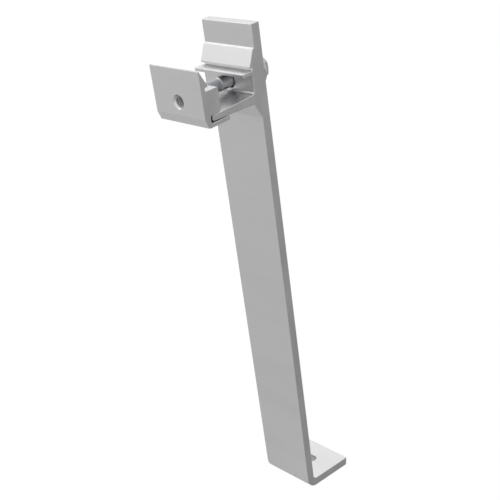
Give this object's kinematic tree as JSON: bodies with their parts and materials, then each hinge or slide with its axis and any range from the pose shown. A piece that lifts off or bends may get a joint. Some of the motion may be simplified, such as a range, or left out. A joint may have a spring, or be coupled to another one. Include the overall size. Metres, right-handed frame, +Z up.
{
  "type": "solar tilt back leg",
  "caption": "Tall extruded aluminium leg with a bent foot and a spring-loaded bolted jaw that clamps a panel rail at its top.",
  "frame": {"origin": "centre of the foot's bolt hole, on the underside of the foot", "axes": "+Z up out of the foot; +X along the rail that the clamp holds; the leg leans towards -Y and the foot points to +Y"},
  "size_m": [0.038, 0.138, 0.3225],
  "materials": {
    "aluminium": "plain extruded, satin",
    "steel": "plain stainless",
    "spring_steel": "drawn wire"
  },
  "bodies": {
    "leg": {"leg": "aluminium", "clamp_spring": "spring_steel"},
    "washer": {"spring_washer": "steel"},
    "bolt": {"clamp_bolt": "steel"},
    "jaw": {"clamp_jaw": "aluminium"}
  },
  "joints": [
    {"name": "clamp_spread", "type": "slide", "parent": "leg", "child": "washer", "axis": [0, -0.9848, -0.1736], "range_m": [0, 0.0025], "stiffness_N_per_m": 4000, "deforming": ["clamp_spring"]},
    {"name": "bolt_turn", "type": "hinge", "parent": "washer", "child": "bolt", "pos_m": [0, -0.05793, 0.29316], "axis": [0, -0.9848, -0.1736], "range_deg": [-1080, 324]},
    {"name": "jaw_travel", "type": "slide", "parent": "washer", "child": "jaw", "axis": [0, -0.9848, -0.1736], "range_m": [-0.00112, 0.00375]}
  ],
  "couplings": [
    {"joint": "jaw_travel", "follows": "bolt_turn", "m_per_rad": -0.00019894}
  ]
}
